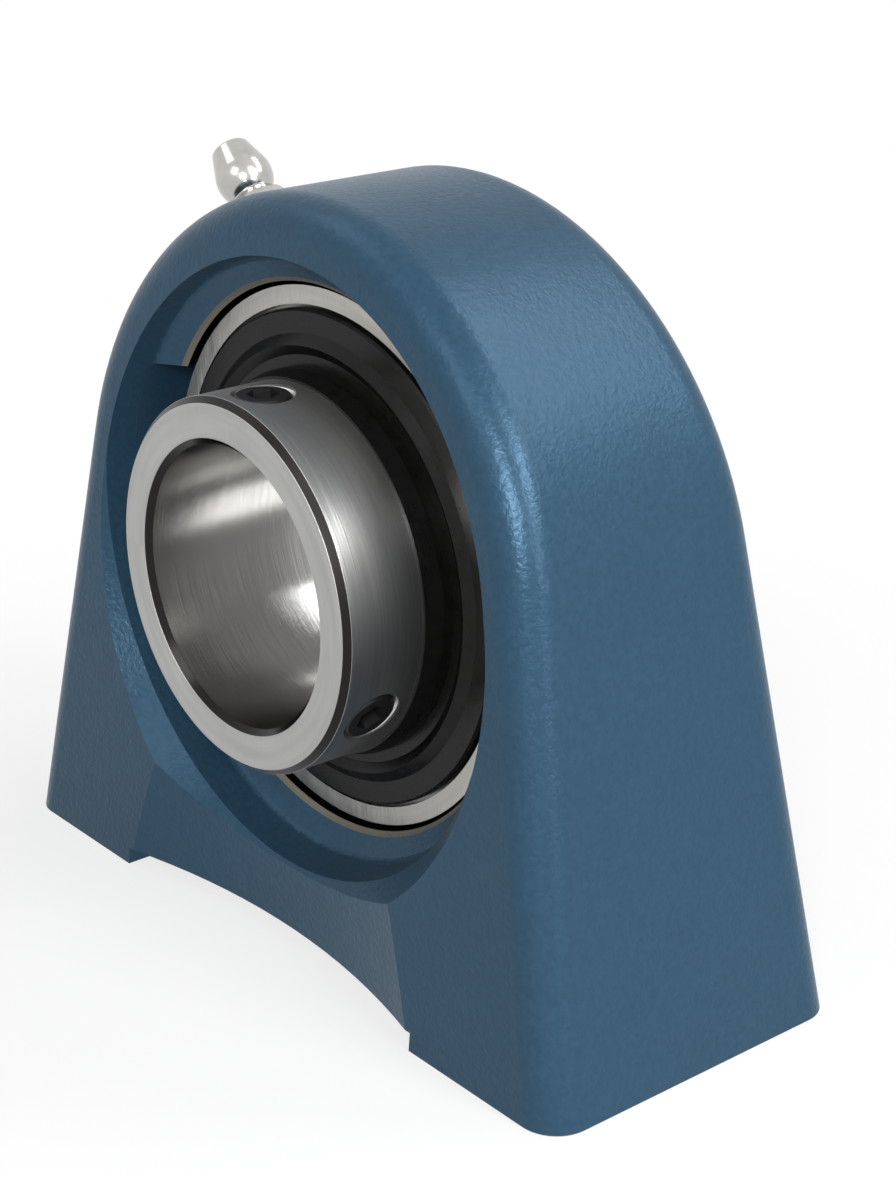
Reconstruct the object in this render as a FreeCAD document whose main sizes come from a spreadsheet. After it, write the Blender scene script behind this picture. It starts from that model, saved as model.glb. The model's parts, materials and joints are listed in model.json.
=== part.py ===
import FreeCAD, Part
import math
import os

import Sketcher

# Pillow block bearing with a short base: a cast housing with tapped feet, and in its
# spherical seat a sealed ball bearing insert that is locked to the shaft by two screws.
# The origin is on the base plane, under the middle of the bearing. X runs along the base,
# the shaft axis runs along Y, the screw side of the insert faces -Y, and Z points up.

Vector = FreeCAD.Vector
Rotation = FreeCAD.Rotation
Placement = FreeCAD.Placement

doc = FreeCAD.newDocument("pillow_block_bearing")

# Driving dimensions, in millimetres and degrees. "Depth" and "reach" are distances from
# the ball plane along the shaft axis, and "radius" is measured from that axis.
SIZES = {
    # insert: inner ring
    "shaft_bore": 30.0,
    "inner_ring_outside": 39.7,
    "inner_ring_front": 22.2,
    "inner_ring_back": 15.9,
    "inner_ring_chamfer": 0.7,
    "bore_chamfer": 0.65,
    # insert: outer ring
    "sphere_diameter": 62.0,
    "outer_ring_width": 18.0,
    "outer_ring_mouth_radius": 27.05,
    "outer_ring_land_radius": 26.2,
    "outer_ring_chamfer": 1.3,
    "seal_groove_radius": 27.75,
    "seal_groove_outer_depth": 7.6,
    "seal_groove_inner_depth": 6.9,
    # insert: balls and cage
    "ball_diameter": 9.525,
    "ball_count": 9.0,
    "pitch_diameter": 46.0,
    "race_radius_ratio": 0.52,
    "ball_play": 0.01,
    "cage_inner_radius": 21.3,
    "cage_outer_radius": 24.7,
    "cage_back_reach": 5.9,
    "cage_horn_reach": 2.6,
    "cage_pocket_play": 0.15,
    "cage_horn_gap": 1.8,
    "cage_horn_gap_depth": 2.2,
    # insert: seals and flingers
    "seal_plate_inner_radius": 21.6,
    "seal_lip_thickness": 1.2,
    "seal_lip_play": 0.05,
    "flinger_collar_reach": 12.7,
    "flinger_collar_edge_radius": 20.15,
    "flinger_collar_radius": 20.7,
    "flinger_shoulder_reach": 10.8,
    "flinger_groove_reach": 9.6,
    "flinger_cone_start_radius": 21.9,
    "flinger_cone_end_radius": 22.95,
    "flinger_cone_rise": 0.65,
    "flinger_disc_radius": 24.1,
    "flinger_disc_reach": 9.5,
    "flinger_outer_radius": 26.65,
    "flinger_sheet": 0.8,
    # insert: grub screws
    "screw_diameter": 6.0,
    "screw_length": 4.6,
    "screw_play": 0.05,
    "screw_from_face": 5.0,
    "screw_below_surface": 0.15,
    "screw_hole_chamfer": 0.3,
    "screw_key_width": 3.0,
    "screw_key_depth": 2.4,
    "screw_top_angle": 90.0,
    "screw_side_angle": -30.0,
    # housing: outside
    "shaft_height": 42.9,
    "top_radius": 38.7,
    "base_length": 95.7,
    "base_width": 39.8,
    "face_draft": 4.75,
    "edge_round": 4.2,
    "relief_height": 2.0,
    "relief_length": 52.2,
    "web_scoop_radius": 94.0,
    "web_half_thickness": 16.25,
    # housing: pocket and seat
    "seat_play": 0.03,
    "seat_reach": 9.6,
    "seat_rim_width": 0.5,
    "pocket_floor_reach": 11.7,
    "pocket_floor_radius": 32.3,
    "pocket_wall_reach": 15.9,
    "pocket_radius": 33.1,
    "pocket_flare_angle": 42.0,
    "pocket_round": 1.2,
    "slot_height": 31.0,
    "slot_radius": 32.45,
    # housing: tapped feet
    "foot_hole_spacing": 66.0,
    "foot_hole_core": 8.5,
    "foot_hole_depth": 18.0,
    # lubrication
    "grease_plane": 4.3,
    "grease_angle": 45.0,
    "grease_groove_width": 2.4,
    "grease_groove_depth": 0.8,
    "grease_duct": 2.5,
    "ring_oil_hole": 1.6,
    "nipple_thread": 6.0,
    "nipple_thread_play": 0.02,
    "nipple_thread_length": 5.0,
    "nipple_thread_run_out": 0.5,
    "nipple_boss_radius": 5.5,
    "nipple_boss_height": 1.5,
    "nipple_hex_width": 6.4,
    "nipple_hex_height": 4.25,
    "nipple_neck_diameter": 4.9,
    "nipple_neck_length": 0.15,
    "nipple_head_diameter": 6.54,
    "nipple_head_round": 3.64,
    "nipple_head_reach": 6.7,
    "nipple_cone_angle": 17.6,
    "nipple_height": 10.8,
    "nipple_tip_chamfer": 0.25,
    "nipple_bore": 2.4,
    "nipple_mouth": 1.3,
    "nipple_mouth_depth": 0.4,
    "nipple_ball": 2.0,
    "nipple_ball_play": 0.02,
    "spring_wire": 0.3,
    "spring_turns": 4.0,
    # how far the outline of a cut runs past the surface that it opens
    "cut_margin": 1.0,
}

sheet = doc.addObject("Spreadsheet::Sheet", "size")
for row, (alias, number) in enumerate(SIZES.items(), start=1):
    sheet.set(f"A{row}", alias)
    sheet.set(f"B{row}", str(number))
    sheet.setAlias(f"B{row}", alias)
doc.recompute()


def size(expression):
    """Value of a formula in the sheet's aliases, written without the sheet's name."""
    return float(sheet.evalExpression(bound(expression)))


def bound(expression):
    """The same formula as the document's expressions need it: each alias after 'size.'."""
    words = []
    word = ""
    for letter in f"{expression} ":
        if letter.isalnum() or letter == "_":
            word += letter
            continue
        words.append(f"size.{word}" if word in SIZES else word)
        words.append(letter)
        word = ""
    return "".join(words).strip()


def new_body(name):
    body = doc.addObject("PartDesign::Body", name)
    body.Label = name
    return body


def new_sketch(body, name, role, across="0", along="0", forward="0", turn=None):
    """Sketch on one of the body's own origin planes, moved by formulas in its own axes."""
    sketch = body.newObject("Sketcher::SketchObject", f"{body.Name}_{name}")
    plane = next(p for p in body.Origin.OriginFeatures if p.Role == role)
    sketch.AttachmentSupport = (plane, [""])
    sketch.MapMode = "FlatFace"
    offset = Vector(size(across), size(along), size(forward))
    spin = Rotation(Vector(0, 0, 1), size(turn) if turn else 0.0)
    sketch.AttachmentOffset = Placement(offset, spin)
    for axis, formula in zip("xyz", (across, along, forward)):
        if formula != "0":
            sketch.setExpression(f"AttachmentOffset.Base.{axis}", bound(formula))
    if turn:
        sketch.setExpression("AttachmentOffset.Rotation.Angle", bound(turn))
    return sketch


def hold(sketch, kind, geometry, point, formula):
    """Ties one coordinate of a sketch point to a formula."""
    if formula == "0":
        axis = -2 if kind == "DistanceX" else -1
        sketch.addConstraint(Sketcher.Constraint("PointOnObject", geometry, point, axis))
        return
    number = sketch.addConstraint(Sketcher.Constraint(kind, -1, 1, geometry, point, size(formula)))
    sketch.setExpression(f"Constraints[{number}]", bound(formula))


def draw_outline(sketch, corners, arcs=None):
    """Closed outline through corners given as pairs of formulas.

    arcs maps the number of a corner to (radius, centre across, centre along) for the round
    stretch from that corner to the next. All other stretches are straight.
    """
    arcs = arcs or {}
    first = sketch.GeometryCount
    spots = [Vector(size(x), size(y), 0) for x, y in corners]
    ends = []
    for i, start in enumerate(spots):
        stop = spots[(i + 1) % len(spots)]
        if i not in arcs:
            sketch.addGeometry(Part.LineSegment(start, stop), False)
            ends.append((1, 2))
            continue
        radius, centre_x, centre_y = arcs[i]
        centre = Vector(size(centre_x), size(centre_y), 0)
        from_angle = math.atan2(start.y - centre.y, start.x - centre.x)
        to_angle = math.atan2(stop.y - centre.y, stop.x - centre.x)
        sweep = (to_angle - from_angle) % (2 * math.pi)
        turns_left = sweep < math.pi
        if not turns_left:
            from_angle, to_angle = to_angle, from_angle
        circle = Part.Circle(centre, Vector(0, 0, 1), size(radius))
        sketch.addGeometry(Part.ArcOfCircle(circle, from_angle, to_angle), False)
        ends.append((1, 2) if turns_left else (2, 1))
    for i in range(len(spots)):
        after = (i + 1) % len(spots)
        sketch.addConstraint(
            Sketcher.Constraint("Coincident", first + i, ends[i][1], first + after, ends[after][0])
        )
    for i, (x, y) in enumerate(corners):
        hold(sketch, "DistanceX", first + i, ends[i][0], x)
        hold(sketch, "DistanceY", first + i, ends[i][0], y)
    for i, (radius, _, _) in arcs.items():
        number = sketch.addConstraint(Sketcher.Constraint("Radius", first + i, size(radius)))
        sketch.setExpression(f"Constraints[{number}]", bound(radius))


def draw_circle(sketch, across, along, radius):
    centre = Vector(size(across), size(along), 0)
    circle = Part.Circle(centre, Vector(0, 0, 1), size(radius))
    number = sketch.addGeometry(circle, False)
    hold(sketch, "DistanceX", number, 3, across)
    hold(sketch, "DistanceY", number, 3, along)
    radius_rule = sketch.addConstraint(Sketcher.Constraint("Radius", number, size(radius)))
    sketch.setExpression(f"Constraints[{radius_rule}]", bound(radius))


def turned(body, sketch, name, axis="H_Axis", cut=False):
    """Full turn of a sketch about one of its own axes, added to or cut from the body."""
    kind = "PartDesign::Groove" if cut else "PartDesign::Revolution"
    feature = body.newObject(kind, f"{body.Name}_{name}")
    feature.Profile = sketch
    feature.ReferenceAxis = (sketch, [axis])
    feature.Angle = 360
    return feature


def cut_through(body, sketch, name):
    """Pocket through the whole body, both ways from the sketch."""
    feature = body.newObject("PartDesign::Pocket", f"{body.Name}_{name}")
    feature.Profile = sketch
    feature.Type = "ThroughAll"
    feature.Midplane = True
    return feature


def cut_depth(body, sketch, name, depth, reverse=False):
    feature = body.newObject("PartDesign::Pocket", f"{body.Name}_{name}")
    feature.Profile = sketch
    feature.Length = size(depth)
    feature.setExpression("Length", bound(depth))
    feature.Reversed = reverse
    return feature


def volume_falls(body, make_cut):
    """Runs a function that adds a cut, and checks that the cut took something away."""
    doc.recompute()
    before = body.Shape.Volume
    feature = make_cut()
    doc.recompute()
    if body.Shape.Volume >= before - 1e-6:
        raise RuntimeError(f"{feature.Name} cuts nothing")
    return feature


def round_edges(body, base, name, radius, wanted):
    """Fillet on every edge of the base feature that the test picks."""
    doc.recompute()
    picked = [f"Edge{i}" for i, e in enumerate(base.Shape.Edges, start=1) if wanted(e)]
    feature = body.newObject("PartDesign::Fillet", f"{body.Name}_{name}")
    feature.Base = (base, picked)
    feature.Radius = size(radius)
    feature.setExpression("Radius", bound(radius))
    return feature


def around_shaft(angle, radius, reach):
    """Point at an angle from +X about the shaft axis, at a radius and a place along Y."""
    turn = math.radians(angle)
    across = radius * math.cos(turn)
    up = size("shaft_height") + radius * math.sin(turn)
    return Vector(across, reach, up)


def pointing_out(angle):
    """Rotation that lays a piece's own +Z along the radius at an angle from +X about Y."""
    return Rotation(Vector(0, 1, 0), 90 - angle)


def make_housing():
    """Casting: drafted faces, rounded outline, pocket on both sides and a spherical seat."""
    body = new_body("housing")
    half = "base_width / 2"

    front = new_sketch(body, "front_outline", "XZ_Plane")
    foot = size("base_length / 2")
    height = size("shaft_height")
    crown = size("top_radius")
    reach = math.hypot(foot, height)
    tilt = math.acos(crown / reach) - math.atan2(height, foot)
    touch = Vector(crown * math.cos(tilt), height + crown * math.sin(tilt), 0)
    mirror_touch = Vector(-touch.x, touch.y, 0)
    circle = Part.Circle(Vector(0, height, 0), Vector(0, 0, 1), crown)
    front.addGeometry(Part.LineSegment(Vector(-foot, 0, 0), Vector(foot, 0, 0)), False)
    front.addGeometry(Part.LineSegment(Vector(foot, 0, 0), touch), False)
    front.addGeometry(Part.ArcOfCircle(circle, tilt, math.pi - tilt), False)
    front.addGeometry(Part.LineSegment(mirror_touch, Vector(-foot, 0, 0)), False)
    front.addConstraint(Sketcher.Constraint("Coincident", 0, 2, 1, 1))
    front.addConstraint(Sketcher.Constraint("Tangent", 1, 2, 2, 1))
    front.addConstraint(Sketcher.Constraint("Tangent", 2, 2, 3, 1))
    front.addConstraint(Sketcher.Constraint("Coincident", 3, 2, 0, 1))
    hold(front, "DistanceX", 0, 1, "-base_length / 2")
    hold(front, "DistanceY", 0, 1, "0")
    hold(front, "DistanceX", 0, 2, "base_length / 2")
    hold(front, "DistanceY", 0, 2, "0")
    hold(front, "DistanceX", 2, 3, "0")
    hold(front, "DistanceY", 2, 3, "shaft_height")
    rule = front.addConstraint(Sketcher.Constraint("Radius", 2, crown))
    front.setExpression(f"Constraints[{rule}]", bound("top_radius"))

    block = body.newObject("PartDesign::Pad", "housing_block")
    block.Profile = front
    block.Length = size("base_width")
    block.setExpression("Length", bound("base_width"))
    block.Midplane = True

    # wedges that leave the front and the rear leaning in towards the top
    overtop = "(shaft_height + top_radius + edge_round)"
    lean = f"({overtop} * tan(face_draft * 1deg))"
    sides = new_sketch(body, "face_draft", "YZ_Plane")
    for sign in ("-", ""):
        draw_outline(sides, [
            (f"{sign}({half})", "0"),
            (f"{sign}({half} + edge_round)", "0"),
            (f"{sign}({half} + edge_round)", overtop),
            (f"{sign}({half} - {lean})", overtop),
        ])
    drafted = volume_falls(body, lambda: cut_through(body, sides, "drafted_faces"))

    slope = math.tan(math.radians(size("face_draft")))

    def on_outline(edge):
        spots = edge.discretize(7)
        leaning = all(abs(abs(p.y) + slope * p.z - size(half)) < 1e-4 for p in spots)
        return leaning and max(p.z for p in spots) > size("relief_height")

    rounded = round_edges(body, drafted, "outline_round", "edge_round", on_outline)

    # both sides: flared mouth, drafted wall, funnel and the machined seat between them
    seat = "(sphere_diameter / 2 + seat_play)"
    rim = f"sqrt({seat} * {seat} - seat_reach * seat_reach)"
    flare = "((base_width / 2 - pocket_wall_reach) * tan(pocket_flare_angle * 1deg))"
    pocket = new_sketch(body, "pocket_profile", "YZ_Plane", along="shaft_height")
    draw_outline(pocket, [
        (f"-({half})", "0"),
        (half, "0"),
        (half, f"pocket_radius + {flare}"),
        ("pocket_wall_reach", "pocket_radius"),
        ("pocket_floor_reach", "pocket_floor_radius"),
        ("seat_reach + seat_rim_width", f"{rim} + seat_rim_width"),
        ("seat_reach", rim),
        ("-seat_reach", rim),
        ("-(seat_reach + seat_rim_width)", f"{rim} + seat_rim_width"),
        ("-pocket_floor_reach", "pocket_floor_radius"),
        ("-pocket_wall_reach", "pocket_radius"),
        (f"-({half})", f"pocket_radius + {flare}"),
    ], arcs={6: (seat, "0", "0")})
    bored = volume_falls(body, lambda: turned(body, pocket, "pocket", cut=True))

    def on_pocket_floor(edge):
        if not hasattr(edge.Curve, "Radius"):
            return False
        return abs(edge.Curve.Radius - size("pocket_floor_radius")) < 1e-4

    eased = round_edges(body, bored, "pocket_round", "pocket_round", on_pocket_floor)

    # slots on both sides of the seat, through which the insert goes in lying flat
    slot = new_sketch(body, "slot_outline", "XZ_Plane", along="shaft_height")
    ends = "sqrt(slot_radius * slot_radius - slot_height * slot_height / 4)"
    draw_outline(slot, [
        (f"-{ends}", "-slot_height / 2"),
        (ends, "-slot_height / 2"),
        (ends, "slot_height / 2"),
        (f"-{ends}", "slot_height / 2"),
    ], arcs={1: ("slot_radius", "0", "0"), 3: ("slot_radius", "0", "0")})
    volume_falls(body, lambda: cut_through(body, slot, "loading_slots"))

    # hollow front and rear of the web that joins the two feet under the bearing
    scoop = new_sketch(body, "web_scoop", "XY_Plane")
    for sign in ("-", ""):
        draw_circle(scoop, "0", f"{sign}(web_half_thickness + web_scoop_radius)", "web_scoop_radius")
    volume_falls(body, lambda: cut_depth(body, scoop, "scooped_web", "shaft_height", reverse=True))

    relief = new_sketch(body, "base_relief", "XZ_Plane")
    draw_outline(relief, [
        ("-relief_length / 2", "0"),
        ("relief_length / 2", "0"),
        ("relief_length / 2", "relief_height"),
        ("-relief_length / 2", "relief_height"),
    ])
    volume_falls(body, lambda: cut_through(body, relief, "relief_between_feet"))

    holes = new_sketch(body, "foot_holes", "XY_Plane")
    for sign in ("-", ""):
        draw_circle(holes, f"{sign}(foot_hole_spacing / 2)", "0", "foot_hole_core / 2")

    def drill_feet():
        hole = body.newObject("PartDesign::Hole", "housing_foot_holes")
        hole.Profile = holes
        doc.recompute()
        hole.Threaded = False
        hole.Diameter = size("foot_hole_core")
        hole.setExpression("Diameter", bound("foot_hole_core"))
        hole.DepthType = "Dimension"
        hole.Depth = size("foot_hole_depth")
        hole.setExpression("Depth", bound("foot_hole_depth"))
        hole.DrillPoint = "Angled"
        hole.Reversed = True
        return hole

    volume_falls(body, drill_feet)

    # grease way: groove in the seat, and the port for the nipple on the shoulder
    groove = new_sketch(body, "grease_groove", "YZ_Plane", along="shaft_height")
    draw_outline(groove, [
        ("grease_plane - grease_groove_width / 2", "sphere_diameter / 2 - grease_groove_depth * 2"),
        ("grease_plane + grease_groove_width / 2", "sphere_diameter / 2 - grease_groove_depth * 2"),
        ("grease_plane + grease_groove_width / 2", "sphere_diameter / 2 + grease_groove_depth"),
        ("grease_plane - grease_groove_width / 2", "sphere_diameter / 2 + grease_groove_depth"),
    ])
    volume_falls(body, lambda: turned(body, groove, "seat_groove", cut=True))

    port_place = {
        "along": "shaft_height",
        "forward": "-grease_plane",
        "turn": "grease_angle",
    }
    boss = new_sketch(body, "nipple_boss", "XZ_Plane", **port_place)
    draw_outline(boss, [
        ("0", "(sphere_diameter / 2 + top_radius) / 2"),
        ("nipple_boss_radius + nipple_boss_height", "(sphere_diameter / 2 + top_radius) / 2"),
        ("nipple_boss_radius", "top_radius + nipple_boss_height"),
        ("0", "top_radius + nipple_boss_height"),
    ])
    turned(body, boss, "nipple_boss", axis="V_Axis")
    port = new_sketch(body, "nipple_port", "XZ_Plane", **port_place)
    port_radius = "(nipple_thread / 2 + nipple_thread_play)"
    thread_end = "(top_radius + nipple_boss_height - nipple_thread_length - nipple_thread_run_out)"
    draw_outline(port, [
        ("0", "sphere_diameter / 2 - grease_groove_depth"),
        ("grease_duct / 2", "sphere_diameter / 2 - grease_groove_depth"),
        ("grease_duct / 2", thread_end),
        (port_radius, thread_end),
        (port_radius, "top_radius + nipple_boss_height + cut_margin"),
        ("0", "top_radius + nipple_boss_height + cut_margin"),
    ])
    volume_falls(body, lambda: turned(body, port, "nipple_port", axis="V_Axis", cut=True))
    return body


def make_outer_ring():
    """Outer ring: spherical outside, raceway, a groove for the seal plate at each side."""
    body = new_body("outer_ring")
    side = "(outer_ring_width / 2)"
    sphere = "(sphere_diameter / 2)"
    race = "(race_radius_ratio * ball_diameter)"
    race_centre = f"(pitch_diameter / 2 + ball_diameter / 2 + ball_play - {race})"
    race_edge = f"sqrt({race} * {race} - (outer_ring_land_radius - {race_centre})^2)"
    edge_reach = f"({side} - outer_ring_chamfer)"
    profile = new_sketch(body, "profile", "YZ_Plane", along="shaft_height")
    draw_outline(profile, [
        (f"-{side}", "outer_ring_mouth_radius"),
        ("-seal_groove_outer_depth", "outer_ring_mouth_radius"),
        ("-seal_groove_outer_depth", "seal_groove_radius"),
        ("-seal_groove_inner_depth", "seal_groove_radius"),
        ("-seal_groove_inner_depth", "outer_ring_land_radius"),
        (f"-{race_edge}", "outer_ring_land_radius"),
        (race_edge, "outer_ring_land_radius"),
        ("seal_groove_inner_depth", "outer_ring_land_radius"),
        ("seal_groove_inner_depth", "seal_groove_radius"),
        ("seal_groove_outer_depth", "seal_groove_radius"),
        ("seal_groove_outer_depth", "outer_ring_mouth_radius"),
        (side, "outer_ring_mouth_radius"),
        (side, f"sqrt({sphere}^2 - {side}^2) - outer_ring_chamfer / 2"),
        (edge_reach, f"sqrt({sphere}^2 - {edge_reach}^2)"),
        (f"-{edge_reach}", f"sqrt({sphere}^2 - {edge_reach}^2)"),
        (f"-{side}", f"sqrt({sphere}^2 - {side}^2) - outer_ring_chamfer / 2"),
    ], arcs={5: (race, "0", race_centre), 13: (sphere, "0", "0")})
    turned(body, profile, "ring")

    # hole through which grease comes in from the groove of the seat
    hole = new_sketch(
        body, "oil_hole", "XZ_Plane", along="shaft_height", forward="-grease_plane", turn="grease_angle"
    )
    draw_outline(hole, [
        ("0", "pitch_diameter / 2"),
        ("ring_oil_hole / 2", "pitch_diameter / 2"),
        ("ring_oil_hole / 2", "sphere_diameter / 2 + cut_margin"),
        ("0", "sphere_diameter / 2 + cut_margin"),
    ])
    volume_falls(body, lambda: turned(body, hole, "oil_hole", axis="V_Axis", cut=True))
    return body


def make_inner_ring():
    """Wide inner ring with its raceway and two tapped holes near the front face."""
    body = new_body("inner_ring")
    outside = "(inner_ring_outside / 2)"
    bore = "(shaft_bore / 2)"
    race = "(race_radius_ratio * ball_diameter)"
    race_centre = f"(pitch_diameter / 2 - ball_diameter / 2 - ball_play + {race})"
    race_edge = f"sqrt({race} * {race} - ({race_centre} - {outside})^2)"
    profile = new_sketch(body, "profile", "YZ_Plane", along="shaft_height")
    draw_outline(profile, [
        ("-inner_ring_front", f"{bore} + bore_chamfer"),
        ("-inner_ring_front", f"{outside} - inner_ring_chamfer"),
        ("-inner_ring_front + inner_ring_chamfer", outside),
        (f"-{race_edge}", outside),
        (race_edge, outside),
        ("inner_ring_back - inner_ring_chamfer", outside),
        ("inner_ring_back", f"{outside} - inner_ring_chamfer"),
        ("inner_ring_back", f"{bore} + bore_chamfer"),
        ("inner_ring_back - bore_chamfer", bore),
        ("-inner_ring_front + bore_chamfer", bore),
    ], arcs={3: (race, "0", race_centre)})
    turned(body, profile, "ring")

    for name in ("top", "side"):
        hole = new_sketch(
            body, f"{name}_hole", "XZ_Plane", along="shaft_height",
            forward="inner_ring_front - screw_from_face", turn=f"screw_{name}_angle - 90",
        )
        draw_outline(hole, [
            ("0", f"{bore} / 2"),
            ("screw_diameter / 2", f"{bore} / 2"),
            ("screw_diameter / 2", f"{outside} - screw_hole_chamfer * 2"),
            ("screw_diameter / 2 + screw_hole_chamfer", f"{outside} - screw_hole_chamfer"),
            ("screw_diameter / 2 + screw_hole_chamfer", f"{outside} + screw_hole_chamfer"),
            ("0", f"{outside} + screw_hole_chamfer"),
        ])
        volume_falls(body, lambda: turned(body, hole, f"{name}_hole", axis="V_Axis", cut=True))
    return body


def make_cage():
    """Snap cage: a ring behind the balls, with a pair of horns between each two of them."""
    body = new_body("cage")
    ring = new_sketch(body, "profile", "YZ_Plane", along="shaft_height")
    draw_outline(ring, [
        ("-cage_horn_reach", "cage_inner_radius"),
        ("cage_back_reach", "cage_inner_radius"),
        ("cage_back_reach", "cage_outer_radius"),
        ("-cage_horn_reach", "cage_outer_radius"),
    ])
    turned(body, ring, "ring")

    pocket_radius = "(ball_diameter / 2 + cage_pocket_play)"
    half_step = "180 / ball_count"
    pocket = new_sketch(body, "pocket", "XZ_Plane", along="shaft_height", turn=half_step)
    draw_outline(pocket, [
        ("0", f"pitch_diameter / 2 - {pocket_radius}"),
        (pocket_radius, "pitch_diameter / 2"),
        ("0", f"pitch_diameter / 2 + {pocket_radius}"),
    ], arcs={
        0: (pocket_radius, "0", "pitch_diameter / 2"),
        1: (pocket_radius, "0", "pitch_diameter / 2"),
    })
    ball_pocket = volume_falls(
        body, lambda: turned(body, pocket, "ball_pocket", axis="V_Axis", cut=True)
    )

    gap = new_sketch(body, "horn_gap", "XY_Plane", forward="shaft_height")
    draw_outline(gap, [
        ("-cage_horn_gap / 2", "-cage_horn_reach - cut_margin"),
        ("cage_horn_gap / 2", "-cage_horn_reach - cut_margin"),
        ("cage_horn_gap / 2", "-cage_horn_reach + cage_horn_gap_depth"),
        ("-cage_horn_gap / 2", "-cage_horn_reach + cage_horn_gap_depth"),
    ])
    horn_gap = volume_falls(
        body, lambda: cut_depth(body, gap, "horn_gap", "cage_outer_radius + cut_margin", reverse=True)
    )

    rows = body.newObject("PartDesign::PolarPattern", "cage_rows")
    rows.Originals = [ball_pocket, horn_gap]
    rows.Axis = (ring, ["H_Axis"])
    rows.Angle = 360
    rows.Occurrences = round(size("ball_count"))
    rows.setExpression("Occurrences", bound("ball_count"))
    body.Tip = rows
    return body


def make_balls():
    """Balls on the pitch circle, the first of them half a step past the top."""
    balls = []
    count = round(size("ball_count"))
    for i in range(count):
        ball = doc.addObject("Part::Sphere", f"ball_{i + 1}")
        ball.Label = f"ball_{i + 1}"
        ball.setExpression("Radius", bound("ball_diameter / 2"))
        angle = 90 + (i + 0.5) * 360 / count
        ball.Placement = Placement(around_shaft(angle, size("pitch_diameter / 2"), 0), Rotation())
        balls.append(ball)
    return balls


def make_seal(end, sign):
    """Steel plate that sits in the groove of the outer ring, and the rubber lip on its edge."""
    plate = new_body(f"{end}_seal_plate")
    profile = new_sketch(plate, "profile", "YZ_Plane", along="shaft_height")
    outer = "seal_groove_outer_depth"
    inner = "seal_groove_inner_depth"
    draw_outline(profile, [
        (f"{sign}{outer}", "seal_groove_radius"),
        (f"{sign}{inner}", "seal_groove_radius"),
        (f"{sign}{inner}", "seal_plate_inner_radius"),
        (f"{sign}{outer}", "seal_plate_inner_radius"),
    ])
    turned(plate, profile, "plate")

    lip = new_body(f"{end}_seal_lip")
    profile = new_sketch(lip, "profile", "YZ_Plane", along="shaft_height")
    foot = "inner_ring_outside / 2 + seal_lip_play"
    draw_outline(profile, [
        (f"{sign}{outer}", "seal_plate_inner_radius"),
        (f"{sign}{inner}", "seal_plate_inner_radius"),
        (f"{sign}{inner}", f"{foot} + seal_lip_thickness"),
        (f"{sign}({inner} - seal_lip_thickness / 4)", f"{foot} + seal_lip_thickness / 4"),
        (f"{sign}({inner} - seal_lip_thickness / 4)", foot),
        (f"{sign}({outer} - seal_lip_thickness / 4)", foot),
        (f"{sign}({outer} + seal_lip_thickness / 4)", f"{foot} + seal_lip_thickness / 4"),
        (f"{sign}({outer} + seal_lip_thickness / 4)", f"{foot} + seal_lip_thickness / 2"),
        (f"{sign}{outer}", f"{foot} + seal_lip_thickness"),
    ])
    turned(lip, profile, "lip")
    return [plate, lip]


def make_flinger(end, sign):
    """Pressed disc with a collar on the inner ring, which turns in the mouth of the outer ring."""
    body = new_body(f"{end}_flinger")
    seat = "inner_ring_outside / 2"
    back = "(flinger_groove_reach - flinger_sheet)"
    edge = "flinger_sheet / 3"
    profile = new_sketch(body, "profile", "YZ_Plane", along="shaft_height")
    draw_outline(profile, [
        (f"{sign}{back}", seat),
        (f"{sign}flinger_collar_reach", seat),
        (f"{sign}flinger_collar_reach", "flinger_collar_edge_radius"),
        (f"{sign}flinger_shoulder_reach", "flinger_collar_radius"),
        (f"{sign}flinger_groove_reach", "flinger_collar_radius"),
        (f"{sign}flinger_groove_reach", "flinger_cone_start_radius"),
        (f"{sign}(flinger_groove_reach + flinger_cone_rise)", "flinger_cone_end_radius"),
        (f"{sign}flinger_disc_reach", "flinger_disc_radius"),
        (f"{sign}flinger_disc_reach", f"flinger_outer_radius - {edge}"),
        (f"{sign}(flinger_disc_reach - {edge})", "flinger_outer_radius"),
        (f"{sign}(flinger_disc_reach - flinger_sheet)", "flinger_outer_radius"),
        (f"{sign}(flinger_disc_reach - flinger_sheet)", "flinger_disc_radius"),
        (f"{sign}({back} + flinger_cone_rise)", "flinger_cone_end_radius"),
        (f"{sign}{back}", "flinger_cone_start_radius"),
    ])
    turned(body, profile, "disc")
    return body


def draw_hexagon(sketch, width):
    """Hexagon about the sketch's origin, with corners to both sides along its H axis."""
    corner = f"{width} / sqrt(3)"
    draw_outline(sketch, [
        (corner, "0"),
        (f"{corner} / 2", f"{width} / 2"),
        (f"-{corner} / 2", f"{width} / 2"),
        (f"-{corner}", "0"),
        (f"-{corner} / 2", f"-{width} / 2"),
        (f"{corner} / 2", f"-{width} / 2"),
    ])


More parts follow.
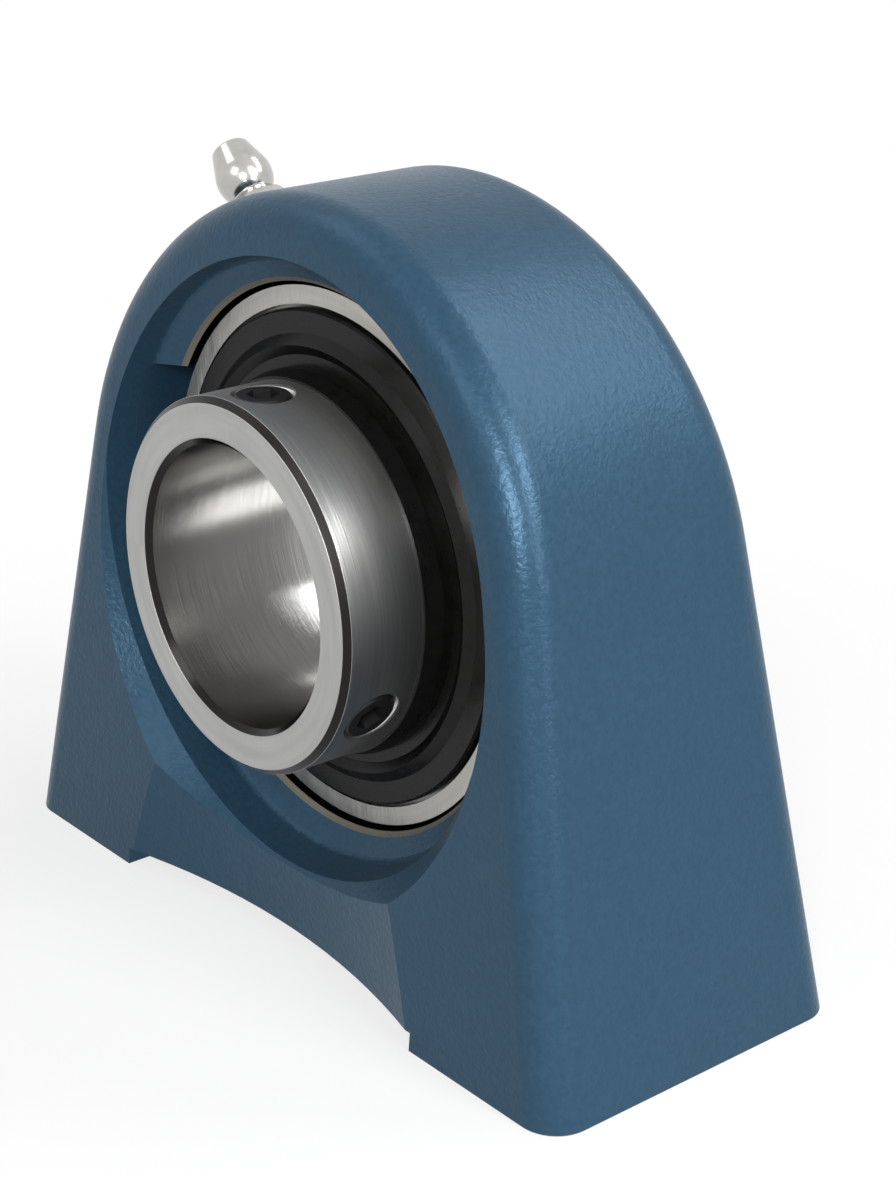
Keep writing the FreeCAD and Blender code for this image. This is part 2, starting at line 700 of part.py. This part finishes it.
def make_grub_screw(name):
    """Socket screw with a cup point, modelled point down and then laid along its radius."""
    body = new_body(f"grub_screw_{name}")
    radius = "(screw_diameter / 2 - screw_play)"
    bevel = "screw_diameter / 12"
    profile = new_sketch(body, "profile", "XZ_Plane")
    draw_outline(profile, [
        ("0", f"{bevel} * 2"),
        (f"{radius} / 2", "0"),
        (f"{radius} - {bevel}", "0"),
        (radius, bevel),
        (radius, f"screw_length - {bevel} / 2"),
        (f"{radius} - {bevel} / 2", "screw_length"),
        ("0", "screw_length"),
    ])
    turned(body, profile, "shank", axis="V_Axis")
    socket = new_sketch(body, "socket", "XY_Plane", forward="screw_length")
    draw_hexagon(socket, "screw_key_width")
    volume_falls(body, lambda: cut_depth(body, socket, "key_socket", "screw_key_depth"))
    angle = size(f"screw_{name}_angle")
    point = size("inner_ring_outside / 2 - screw_below_surface - screw_length")
    place = around_shaft(angle, point, -size("inner_ring_front - screw_from_face"))
    body.Placement = Placement(place, pointing_out(angle))
    return body


def nipple_placement():
    angle = 90 + size("grease_angle")
    seat = size("top_radius + nipple_boss_height")
    return Placement(around_shaft(angle, seat, size("grease_plane")), pointing_out(angle))


# Middle of the check ball above the nipple's seat: the ball closes a cone of 45 degrees
# that starts at the end of the mouth.
BALL_SEAT = (
    "(nipple_height - nipple_mouth_depth + nipple_mouth / 2"
    " - sqrt(2) * (nipple_ball / 2 + nipple_ball_play))"
)
SPRING_RADIUS = "(nipple_ball / 2 - spring_wire / 2)"
SPRING_FOOT = "(-nipple_thread_length + spring_wire * 2 + nipple_ball_play)"


def make_nipple():
    """Conical grease nipple: threaded shank, hexagon, neck and head, bored for its check ball."""
    body = new_body("grease_nipple")
    hexagon = new_sketch(body, "hexagon", "XY_Plane")
    draw_hexagon(hexagon, "nipple_hex_width")
    pad = body.newObject("PartDesign::Pad", "grease_nipple_hexagon")
    pad.Profile = hexagon
    pad.Length = size("nipple_hex_height")
    pad.setExpression("Length", bound("nipple_hex_height"))

    # a cone of 45 degrees takes the top of the hexagon down to the width of the neck
    bevel = new_sketch(body, "bevel", "XZ_Plane")
    neck = "(nipple_neck_diameter / 2)"
    draw_outline(bevel, [
        (neck, "nipple_hex_height"),
        ("nipple_hex_width", f"nipple_hex_height - (nipple_hex_width - {neck})"),
        ("nipple_hex_width", "nipple_hex_height"),
    ])
    volume_falls(body, lambda: turned(body, bevel, "bevel", axis="V_Axis", cut=True))

    # shank, neck, round belly of the head and the cone that runs up from it to the tip
    stem = new_sketch(body, "stem", "XZ_Plane")
    thread = "(nipple_thread / 2)"
    lead_in = "(nipple_thread / 10)"
    belly = "nipple_head_round"
    belly_centre = f"(nipple_head_diameter / 2 - {belly})"
    belly_foot = "(nipple_hex_height + nipple_neck_length)"
    cone_foot = f"(nipple_head_reach + {belly} * sin(nipple_cone_angle * 1deg))"
    cone_width = f"({belly_centre} + {belly} * cos(nipple_cone_angle * 1deg))"
    cone_end = "(nipple_height - nipple_tip_chamfer)"
    tip = f"({cone_width} - ({cone_end} - {cone_foot}) * tan(nipple_cone_angle * 1deg))"
    draw_outline(stem, [
        ("0", "-nipple_thread_length"),
        (f"{thread} - {lead_in}", "-nipple_thread_length"),
        (thread, f"-nipple_thread_length + {lead_in}"),
        (thread, "nipple_hex_height / 2"),
        (neck, "nipple_hex_height / 2"),
        (neck, belly_foot),
        (f"{belly_centre} + sqrt({belly}^2 - (nipple_head_reach - {belly_foot})^2)", belly_foot),
        (cone_width, cone_foot),
        (tip, cone_end),
        (f"{tip} - nipple_tip_chamfer", "nipple_height"),
        ("0", "nipple_height"),
    ], arcs={6: (belly, belly_centre, "nipple_head_reach")})
    turned(body, stem, "stem", axis="V_Axis")

    bore = new_sketch(body, "bore", "XZ_Plane")
    bore_radius = "nipple_bore / 2"
    mouth = "nipple_mouth / 2"
    cone_top = "nipple_height - nipple_mouth_depth"
    draw_outline(bore, [
        ("0", "-nipple_thread_length - cut_margin"),
        (mouth, "-nipple_thread_length - cut_margin"),
        (mouth, "-nipple_thread_length + spring_wire"),
        (bore_radius, "-nipple_thread_length + spring_wire * 1.5"),
        (bore_radius, f"{cone_top} - {bore_radius} + {mouth}"),
        (mouth, cone_top),
        (mouth, "nipple_height + cut_margin"),
        ("0", "nipple_height + cut_margin"),
    ])
    volume_falls(body, lambda: turned(body, bore, "bore", axis="V_Axis", cut=True))
    body.Placement = nipple_placement()
    return body


def make_check_ball():
    ball = doc.addObject("Part::Sphere", "nipple_check_ball")
    ball.Label = "nipple_check_ball"
    ball.setExpression("Radius", bound("nipple_ball / 2"))
    lift = Placement(Vector(0, 0, size(BALL_SEAT)), Rotation())
    ball.Placement = nipple_placement().multiply(lift)
    return ball


def make_spring():
    """Coil spring under the check ball, swept along a helix."""
    wire = size("spring_wire / 2")
    radius = size(SPRING_RADIUS)
    foot = size(SPRING_FOOT)
    reach = size("nipple_ball / 2 + spring_wire / 2 + nipple_ball_play")
    top = size(BALL_SEAT) - math.sqrt(reach**2 - radius**2)
    helix = Part.makeHelix((top - foot) / size("spring_turns"), top - foot, radius)
    section = Part.Circle(Vector(radius, 0, 0), Vector(0, 1, 0), wire)
    coil = Part.Wire(helix.Edges).makePipeShell([Part.Wire(section.toShape())], True, True)
    spring = doc.addObject("Part::Feature", "nipple_spring")
    spring.Label = "nipple_spring"
    spring.Shape = coil
    lift = Placement(Vector(0, 0, foot), Rotation())
    spring.Placement = nipple_placement().multiply(lift)
    return spring


pieces = [make_housing(), make_outer_ring(), make_inner_ring(), make_cage(), *make_balls()]
for end, sign in (("front", "-"), ("back", "")):
    pieces += make_seal(end, sign)
    pieces.append(make_flinger(end, sign))
pieces += [make_grub_screw("top"), make_grub_screw("side")]
pieces += [make_nipple(), make_check_ball(), make_spring()]
doc.recompute()

for thing in doc.Objects:
    if "Invalid" in thing.State or "Error" in thing.State:
        raise RuntimeError(f"{thing.Name} failed: {thing.State}")
for piece in pieces:
    if piece.Shape.isNull() or not piece.Shape.isValid():
        raise RuntimeError(f"{piece.Label} has no valid shape")

os.makedirs("parts", exist_ok=True)
for piece in pieces:
    piece.Shape.exportStep(os.path.join("parts", f"{piece.Label}.step"))
    print(piece.Label, round(piece.Shape.Volume, 1))
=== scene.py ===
import json
import math

import bpy
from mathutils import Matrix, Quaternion, Vector


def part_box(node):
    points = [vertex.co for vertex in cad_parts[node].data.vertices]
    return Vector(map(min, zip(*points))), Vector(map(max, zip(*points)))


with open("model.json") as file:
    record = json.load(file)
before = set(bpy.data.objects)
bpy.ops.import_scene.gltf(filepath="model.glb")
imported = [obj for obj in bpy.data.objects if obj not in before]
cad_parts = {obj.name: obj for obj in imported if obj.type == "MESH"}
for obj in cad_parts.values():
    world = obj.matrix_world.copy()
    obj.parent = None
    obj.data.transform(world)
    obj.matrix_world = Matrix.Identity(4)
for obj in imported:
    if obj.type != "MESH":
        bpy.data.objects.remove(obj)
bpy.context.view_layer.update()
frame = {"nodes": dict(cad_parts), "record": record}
nodes = frame["nodes"]
mounts = {mount["name"]: mount for mount in frame["record"]["mounts"]}

# Lengths in the finishes are in millimetres, because grain and grooves are that small.
# "Reach" is a distance from the ball plane along the shaft, and "radius" is from its axis.
MM = 0.001
SHAFT_HEIGHT = mounts["shaft_bore"]["pos_m"][2] / MM
BORE_RADIUS = mounts["shaft_bore"]["dims"]["r_mm"]
BORE_CHAMFER = 0.65
INNER_RING_FRONT = -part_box("inner_ring")[0][1] / MM
INNER_RING_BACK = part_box("inner_ring")[1][1] / MM
INNER_RING_RADIUS = 19.85
INNER_RING_CHAMFER = 0.7
OUTER_RING_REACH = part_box("outer_ring")[1][1] / MM
OUTER_RING_CHAMFER = 1.3
OUTER_RING_MOUTH_RADIUS = 27.05
OUTER_RING_FACE_RADIUS = 29.01
SEAT_SPHERE = 31.03
SEAT_REACH = 9.6
SEAT_RIM = 0.5
SEAT_EDGE_RADIUS = math.sqrt(SEAT_SPHERE ** 2 - SEAT_REACH ** 2)
FOOT_HOLE_PLACE = mounts["base_bolts"]["dims"]["spacing_x_mm"] / 2
FOOT_HOLE_RADIUS = mounts["base_bolts"]["dims"]["hole_r_mm"]
FOOT_HOLE_TOP = 21.0

# How far off its nominal surface a finish still covers, and how soft its edge is.
SKIN = 0.04
MASK_EDGE = 0.03
# How far a ring's face reaches past its nominal radii, and how much of its chamfer keeps the wall colour
# instead of the painted dark shade.
FACE_EDGE = 0.01
BRIGHT_EDGE = 0.02
# The range that a noise texture mostly stays in.
NOISE_LOW = 0.3
NOISE_HIGH = 0.7


class Value:
    """A number or vector that changes over a surface. Arithmetic on numbers adds Math nodes."""

    def __init__(self, nodes_of, socket):
        self.nodes_of = nodes_of
        self.socket = socket

    def math(self, operation, *numbers):
        return self.nodes_of.node("ShaderNodeMath", {"operation": operation}, dict(enumerate(numbers)))

    def __add__(self, other):
        return self.math("ADD", self, other)

    __radd__ = __add__

    def __sub__(self, other):
        return self.math("SUBTRACT", self, other)

    def __rsub__(self, other):
        return self.math("SUBTRACT", other, self)

    def __mul__(self, other):
        return self.math("MULTIPLY", self, other)

    __rmul__ = __mul__

    def __abs__(self):
        return self.math("ABSOLUTE", self)

    def root(self):
        return self.math("SQRT", self)

    def angle_with(self, other):
        return self.math("ARCTAN2", self, other)

    def most(self, other):
        return self.math("MAXIMUM", self, other)

    def least(self, other):
        return self.math("MINIMUM", self, other)

    def ramp(self, low, high, at_low=0.0, at_high=1.0):
        """Straight change from at_low to at_high while this value goes from low to high."""
        sockets = {"Value": self, 1: low, 2: high, 3: at_low, 4: at_high}
        return self.nodes_of.node("ShaderNodeMapRange", {"clamp": True}, sockets)

    def choose(self, outside, inside):
        """One number outside this mask, the other inside it."""
        return self.ramp(0.0, 1.0, outside, inside)

    def spread(self, at_low=0.0, at_high=1.0):
        """Straight change over the range that a noise mostly stays in."""
        return self.ramp(NOISE_LOW, NOISE_HIGH, at_low, at_high)

    def above(self, level):
        """1 where this value is over the level and 0 under it, with a soft edge."""
        return self.ramp(level - MASK_EDGE / 2, level + MASK_EDGE / 2)

    def below(self, level):
        return 1 - self.above(level)


class Nodes:
    """A node tree in the making, with one way to add every node."""

    def __init__(self, tree):
        self.tree = tree

    def node(self, kind, settings=None, sockets=None, output=0):
        made = self.tree.nodes.new(kind)
        for name, setting in (settings or {}).items():
            setattr(made, name, setting)
        for name, content in (sockets or {}).items():
            if isinstance(content, Value):
                self.tree.links.new(content.socket, made.inputs[name])
            else:
                made.inputs[name].default_value = content
        return Value(self, made.outputs[output])

    def seen_directly(self):
        """1 for rays from the camera and from gloss or glass, 0 for those that only light things."""
        camera = self.node("ShaderNodeLightPath", output="Is Camera Ray")
        glossy = self.node("ShaderNodeLightPath", output="Is Glossy Ray")
        glass = self.node("ShaderNodeLightPath", output="Is Transmission Ray")
        return camera.most(glossy).most(glass)

    def show(self, shader, kind):
        """Makes a shader the one that the tree's output of this kind shows."""
        self.tree.links.new(shader.socket, self.tree.nodes[kind].inputs["Surface"])


class Finish(Nodes):
    """A material in the making: its shader, and the places and patterns that feed it."""

    def __init__(self, name, **constants):
        self.material = bpy.data.materials.new(name)
        self.material.use_nodes = True
        super().__init__(self.material.node_tree)
        self.shader = self.tree.nodes["Principled BSDF"]
        for socket, constant in constants.items():
            self.shader.inputs[socket.replace("_", " ")].default_value = constant
        where = self.node("ShaderNodeTexCoord", output="Object")
        self.place = self.vector_math("SCALE", {0: where, "Scale": 1 / MM})
        self.x, self.y, self.z = (
            self.node("ShaderNodeSeparateXYZ", None, {0: self.place}, output=axis) for axis in "XYZ"
        )

    def set(self, **channels):
        """Feeds what changes over the surface into the shader's sockets."""
        for name, content in channels.items():
            self.tree.links.new(content.socket, self.shader.inputs[name.replace("_", " ")])

    def vector_math(self, operation, sockets):
        return self.node("ShaderNodeVectorMath", {"operation": operation}, sockets)

    def at(self, x, y, z):
        return self.node("ShaderNodeCombineXYZ", None, {0: x, 1: y, 2: z})

    def noise(self, size=1.0, detail=2.0, rough=0.5, place=None):
        """Noise from 0 to 1 whose lumps are about size millimetres wide."""
        sockets = {
            "Vector": place or self.place,
            "Scale": 1 / size,
            "Detail": detail,
            "Roughness": rough,
        }
        return self.node("ShaderNodeTexNoise", {"noise_dimensions": "3D"}, sockets)

    def mix(self, share, first, second):
        """Colour between two, by the share of the second."""
        return self.node("ShaderNodeMix", {"data_type": "RGBA"}, {0: share, 6: first, 7: second}, output=2)

    def shade(self, colour, amount):
        """Colour darkened or lightened by a number that is 1 where it stays."""
        return self.vector_math("SCALE", {0: colour, "Scale": amount})

    def relief(self, height, depth, under=None):
        """Bump whose height goes from 0 to 1 over the depth in millimetres."""
        sockets = {"Height": height, "Strength": 1.0, "Distance": depth * MM}
        if under:
            sockets["Normal"] = under
        return self.node("ShaderNodeBump", None, sockets)

    def leaning(self, *leans):
        """Surface normal that fine scratches lean to one side or the other along the given axes."""
        turn = {"vector_type": "VECTOR", "convert_from": "OBJECT", "convert_to": "WORLD"}
        normal = self.node("ShaderNodeNewGeometry", output="Normal")
        for axis, lean in leans:
            turned = self.node("ShaderNodeVectorTransform", turn, {0: axis})
            normal = self.vector_math("MULTIPLY_ADD", {0: turned, 1: lean, 2: normal})
        return self.vector_math("NORMALIZE", {0: normal})

    def distance(self, across, along):
        return (across * across + along * along).root()

    def shaft_radius(self):
        return self.distance(self.x, self.z - SHAFT_HEIGHT)

    def shaft_angle(self):
        return (self.z - SHAFT_HEIGHT).angle_with(self.x)


def tone(red, green, blue):
    """Linear colour with alpha from the 0 to 255 values that a screen shows."""
    def linear(step):
        share = step / 255
        return share / 12.92 if share <= 0.04045 else ((share + 0.055) / 1.055) ** 2.4
    return (linear(red), linear(green), linear(blue), 1.0)


def machined_parts(finish, radius):
    """Masks of the seat, which is painted near-black as shade, and of all that is bare iron: seat, its
    rims, tapped holes and base.
    """
    reach = abs(finish.y)
    in_seat = finish.distance(radius, finish.y).below(SEAT_SPHERE + SKIN) * reach.below(SEAT_REACH)
    beside_seat = reach.above(SEAT_REACH) * reach.below(SEAT_REACH + SEAT_RIM)
    on_rim = beside_seat * radius.below(SEAT_EDGE_RADIUS + SEAT_RIM + SKIN)
    from_hole = finish.distance(abs(finish.x) - FOOT_HOLE_PLACE, finish.y)
    in_hole = from_hole.below(FOOT_HOLE_RADIUS + SKIN) * finish.z.below(FOOT_HOLE_TOP)
    on_base = finish.z.below(SKIN)
    return in_seat, in_seat.most(on_rim).most(in_hole).most(on_base)


def casting_finish():
    """Satin blue enamel with orange peel over cast iron, bare where the iron is machined."""
    finish = Finish("casting_enamel", Specular_IOR_Level=0.2, Specular_Tint=(0.8, 0.86, 0.9, 1.0))
    radius = finish.shaft_radius()
    in_seat, bare = machined_parts(finish, radius)

    waves = finish.noise(size=7.0, detail=1.0)
    peel = finish.noise(size=0.7)
    grit = finish.noise(size=0.35, detail=1.0)
    enamel = finish.mix(peel.spread(), tone(39, 66, 86), tone(44, 72, 92))
    enamel = finish.shade(enamel, waves.spread(0.98, 1.02))
    turning = finish.noise(size=0.3, place=finish.at(radius, finish.y, 0.0))
    iron = finish.mix(turning, tone(96, 92, 84), tone(126, 120, 110))
    # Painted shade: the seat is coloured near-black to stand for the shadow in the narrow gap round the
    # outer ring.
    seat_shade = finish.mix(turning, tone(14, 14, 13), tone(24, 23, 22))
    metal = finish.mix(in_seat, iron, seat_shade)

    lumps = finish.relief(waves, depth=0.05)
    skin = finish.relief(peel, depth=0.05, under=lumps)
    finish.set(
        Base_Color=finish.mix(bare, enamel, metal),
        Roughness=bare.choose(0.32, 0.45) + grit.spread(-0.03, 0.05),
        Metallic=bare.choose(0.3, 0.6),
        Normal=finish.relief(grit, depth=0.014, under=skin),
    )
    return finish.material


def ground_steel(name, face, wall, chamfer, ends, chamfer_depth, face_radii):
    """Ground ring: scratches round the shaft on its walls, straight ones on its two faces.

    The bore is honed smoother than the outside, and its colour is darkened as painted shade. The faces lie
    at the two ends, between face_radii. What is beyond those, and nearer to an end than chamfer_depth, is
    a chamfer.
    """
    finish = Finish(name, Metallic=1.0)
    radius = finish.shaft_radius()
    angle = finish.shaft_angle()
    front, back = ends
    inside, outside = face_radii
    from_end = (finish.y + front).least(back - finish.y)
    on_face = from_end.below(SKIN)
    on_wall = 1 - on_face
    beyond_face = radius.below(inside - FACE_EDGE).most(radius.above(outside + FACE_EDGE))
    # Chamfers get a dark colour: painted shade along the ring's edges.
    on_chamfer = from_end.below(chamfer_depth) * beyond_face * on_wall
    in_bore = on_wall * radius.below(inside - FACE_EDGE)

    # Stretched places give lumps per millimetre along the shaft and outwards, and per radian.
    grooves = finish.noise(detail=1.0, place=finish.at(finish.y * 30.0, radius * 4.0, angle * 2.0))
    bands = finish.noise(place=finish.at(finish.y * 6.0, radius, angle * 1.6))
    # On the faces the scratches run up and down, a little aslant.
    aslant = finish.x * 6.0 + finish.z * 0.5
    grain = finish.noise(detail=3.0, rough=0.65, place=finish.at(aslant, finish.y, finish.z * 0.22))
    lines = on_face * grain + on_wall * grooves
    # Stripes and grain in the colour, and the bore darkened to 0.72 as painted shade.
    grain_and_bore_shade = bands.spread(0.93, 1.07) * lines.spread(0.95, 1.05) * in_bore.choose(1.0, 0.72)
    groove_lean = (grooves - 0.5) * in_bore.choose(0.4, 0.15) * on_wall
    grain_lean = (grain - 0.5) * on_face * 0.5
    finish.set(
        Base_Color=finish.mix(on_chamfer, finish.shade(finish.mix(on_face, wall, face), grain_and_bore_shade), chamfer),
        Roughness=in_bore.choose(0.34, 0.18) + on_face * 0.03 + lines.spread(-0.02, 0.03),
        Normal=finish.leaning(((0.0, 1.0, 0.0), groove_lean), ((1.0, 0.0, 0.0), grain_lean)),
    )
    return finish.material


def plain_metal(name, colour, roughness, grain_size, grain_depth, metallic=1.0):
    """Smooth metal with a little grain in its colour, gloss and surface, the sizes in millimetres."""
    finish = Finish(name, Metallic=metallic)
    grain = finish.noise(size=grain_size)
    finish.set(
        Base_Color=finish.shade(colour[:3], grain.spread(0.93, 1.06)),
        Roughness=grain.spread(roughness - 0.03, roughness + 0.05),
        Normal=finish.relief(grain, grain_depth),
    )
    return finish.material


def black_sheet():
    """Black coated flinger: fine rings from its pressing, a little lighter where it is worn."""
    finish = Finish("black_sheet", Metallic=0.0, Specular_IOR_Level=0.15)
    round_shaft = finish.at(finish.shaft_radius(), finish.y * 0.5, finish.shaft_angle() * 0.4)
    rings = finish.noise(size=0.25, place=round_shaft)
    mottle = finish.noise(size=1.3, detail=3.0)
    finish.set(
        Base_Color=finish.mix(mottle.spread(), tone(12, 12, 11), tone(19, 18, 17)),
        Roughness=rings.spread(0.26, 0.32) + mottle.spread(-0.02, 0.03),
        Normal=finish.relief(rings, depth=0.006),
    )
    return finish.material


def soft_plastic(name, first, second, roughness, grain_size):
    """Moulded nylon or rubber: even colour with a fine dull grain."""
    finish = Finish(name, Metallic=0.0)
    grain = finish.noise(size=grain_size)
    finish.set(
        Base_Color=finish.mix(grain, first, second),
        Roughness=grain.spread(roughness - 0.05, roughness + 0.05),
        Normal=finish.relief(grain, depth=0.006),
    )
    return finish.material


def dress(material, *names):
    for name in names:
        mesh = nodes[name].data
        mesh.materials.clear()
        mesh.materials.append(material)


balls = [name for name in nodes if name.startswith("ball_")]
inner_ring_steel = ground_steel(
    "ground_inner_ring",
    face=tone(168, 168, 167),
    wall=tone(196, 195, 193),
    # Dark chamfer colour: painted shade of the thin dark line along the edges.
    chamfer=tone(42, 41, 40),
    ends=(INNER_RING_FRONT, INNER_RING_BACK),
    chamfer_depth=INNER_RING_CHAMFER - BRIGHT_EDGE,
    face_radii=(BORE_RADIUS + BORE_CHAMFER, INNER_RING_RADIUS - INNER_RING_CHAMFER),
)
outer_ring_steel = ground_steel(
    "ground_outer_ring",
    face=tone(172, 170, 165),
    wall=tone(150, 149, 146),
    # Near-black chamfer colour: painted shade of the dark line along the edges.
    chamfer=tone(26, 26, 25),
    ends=(OUTER_RING_REACH, OUTER_RING_REACH),
    chamfer_depth=OUTER_RING_CHAMFER,
    face_radii=(OUTER_RING_MOUTH_RADIUS, OUTER_RING_FACE_RADIUS),
)
black_oxide = plain_metal(
    "black_oxide", tone(30, 30, 31), roughness=0.45, grain_size=0.4, grain_depth=0.004, metallic=0.5
)
bright_zinc = plain_metal(
    "bright_zinc", tone(186, 185, 181), roughness=0.16, grain_size=1.5, grain_depth=0.004
)
polished_ball = plain_metal(
    "polished_ball", tone(210, 210, 211), roughness=0.06, grain_size=2.0, grain_depth=0.001
)
spring_wire = plain_metal(
    "spring_wire", tone(150, 148, 145), roughness=0.3, grain_size=0.2, grain_depth=0.002
)
seal_steel = plain_metal(
    "seal_steel", tone(150, 150, 150), roughness=0.35, grain_size=0.6, grain_depth=0.003
)
seal_rubber = soft_plastic(
    "seal_rubber", tone(28, 28, 29), tone(38, 38, 39), roughness=0.6, grain_size=0.5
)
cage_nylon = soft_plastic(
    "cage_nylon", tone(206, 190, 152), tone(214, 200, 166), roughness=0.45, grain_size=0.8
)

dress(casting_finish(), "housing")
dress(inner_ring_steel, "inner_ring")
dress(outer_ring_steel, "outer_ring")
dress(black_sheet(), "front_flinger", "back_flinger")
dress(black_oxide, "grub_screw_top", "grub_screw_side")
dress(bright_zinc, "grease_nipple")
dress(polished_ball, "nipple_check_ball", *balls)
dress(spring_wire, "nipple_spring")
dress(seal_steel, "front_seal_plate", "back_seal_plate")
dress(seal_rubber, "front_seal_lip", "back_seal_lip")
dress(cage_nylon, "cage")

# Studio, in metres: pale floor, white surroundings for what looks straight at them, soft lamps.
# The camera comes from the fit of the rings' ellipses and the casting's outline.
PHOTO_SIZE = (896, 1200)
FOCAL_PIXELS = 2437.4
SENSOR = 36.0
NEAR_CLIP = 0.01
CAMERA_PLACE = Vector((0.1925, -0.1517, 0.1337))
CAMERA_AZIMUTH = 50.54
CAMERA_ELEVATION = 21.73
LAMP_TARGET = Vector((0.0, 0.0, 0.04))
LAMP_DISTANCE = 0.8
WHITE = (1.0, 1.0, 1.0, 1.0)
SKY_TINT = (0.9, 0.95, 1.0, 1.0)
SKY_LIGHT = 0.03
FLOOR_TONE = (0.82, 0.82, 0.82, 1.0)
FLOOR_HALF = 3.0
FLOOR_DROP = 0.0001
# Where the floor starts and ends going over to white, in millimetres as in the finishes.
SHADOW_REACH = 45.0
WHITE_REACH = 130.0
WHITE_IN_SHADOW = 0.7


def direction(azimuth, elevation):
    """Unit vector towards a place in the studio; azimuth 0 is in front, 90 is on the right."""
    side, lift = math.radians(azimuth), math.radians(elevation)
    return Vector((math.sin(side) * math.cos(lift), -math.cos(side) * math.cos(lift), math.sin(lift)))


def link(name, data):
    made = bpy.data.objects.new(name, data)
    bpy.context.scene.collection.objects.link(made)
    return made


def aim(thing, way):
    thing.rotation_mode = "QUATERNION"
    thing.rotation_quaternion = way.to_track_quat("-Z", "Y")


def place_camera():
    data = bpy.data.cameras.new("camera")
    data.sensor_width = SENSOR
    data.lens = FOCAL_PIXELS / max(PHOTO_SIZE) * SENSOR
    data.clip_start = NEAR_CLIP
    camera = link("camera", data)
    camera.location = CAMERA_PLACE
    aim(camera, -direction(CAMERA_AZIMUTH, CAMERA_ELEVATION))
    bpy.context.scene.camera = camera


def paint_world():
    """Dim surroundings that light the object, white where they are seen."""
    world = bpy.data.worlds.new("studio")
    world.use_nodes = True
    bpy.context.scene.world = world
    studio = Nodes(world.node_tree)
    lit = studio.node("ShaderNodeBackground", None, {"Color": SKY_TINT, "Strength": SKY_LIGHT})
    shown = studio.node("ShaderNodeBackground", None, {"Color": WHITE, "Strength": 1.0})
    both = studio.node("ShaderNodeMixShader", None, {0: studio.seen_directly(), 1: lit, 2: shown})
    studio.show(both, "World Output")


def lay_floor():
    """Pale floor that keeps the object's shadow and goes over to white away from it."""
    mesh = bpy.data.meshes.new("floor")
    corners = [(-1, -1), (1, -1), (1, 1), (-1, 1)]
    mesh.from_pydata([(x * FLOOR_HALF, y * FLOOR_HALF, 0) for x, y in corners], [], [(0, 1, 2, 3)])
    floor = link("floor", mesh)
    floor.location.z = -FLOOR_DROP
    finish = Finish("floor", Base_Color=FLOOR_TONE, Roughness=0.9, Specular_IOR_Level=0.0)
    away = finish.distance(finish.x, finish.y)
    white = finish.node("ShaderNodeEmission", None, {"Color": WHITE, "Strength": 1.0})
    share = finish.seen_directly() * away.ramp(SHADOW_REACH, WHITE_REACH, WHITE_IN_SHADOW, 1.0)
    matt = Value(finish, finish.shader.outputs[0])
    finish.show(finish.node("ShaderNodeMixShader", None, {0: share, 1: matt, 2: white}), "Material Output")
    mesh.materials.append(finish.material)


def hang_lamp(name, azimuth, elevation, width, height, watts, lean=0):
    """Soft box or strip that faces the object; lean turns it about the line to the object."""
    data = bpy.data.lights.new(name, "AREA")
    data.shape = "RECTANGLE"
    data.size = width
    data.size_y = height
    data.energy = watts
    lamp = link(name, data)
    lamp.location = LAMP_TARGET + direction(azimuth, elevation) * LAMP_DISTANCE
    aim(lamp, -direction(azimuth, elevation))
    lamp.rotation_quaternion @= Quaternion((0.0, 0.0, 1.0), math.radians(lean))


place_camera()
paint_world()
lay_floor()
hang_lamp("camera_box", azimuth=46, elevation=26, width=0.22, height=0.22, watts=4.8)
hang_lamp("front_box", azimuth=4, elevation=38, width=0.3, height=0.3, watts=0.9)
hang_lamp("left_box", azimuth=-60, elevation=50, width=0.3, height=0.3, watts=0.45)
hang_lamp("right_box", azimuth=104, elevation=36, width=0.2, height=0.2, watts=2.7)
hang_lamp("right_strip", azimuth=90, elevation=30, width=0.22, height=0.8, watts=3.0)
hang_lamp("back_strip", azimuth=152, elevation=49, width=0.65, height=0.15, watts=2.4, lean=41)

bpy.context.scene.view_settings.view_transform = "Standard"
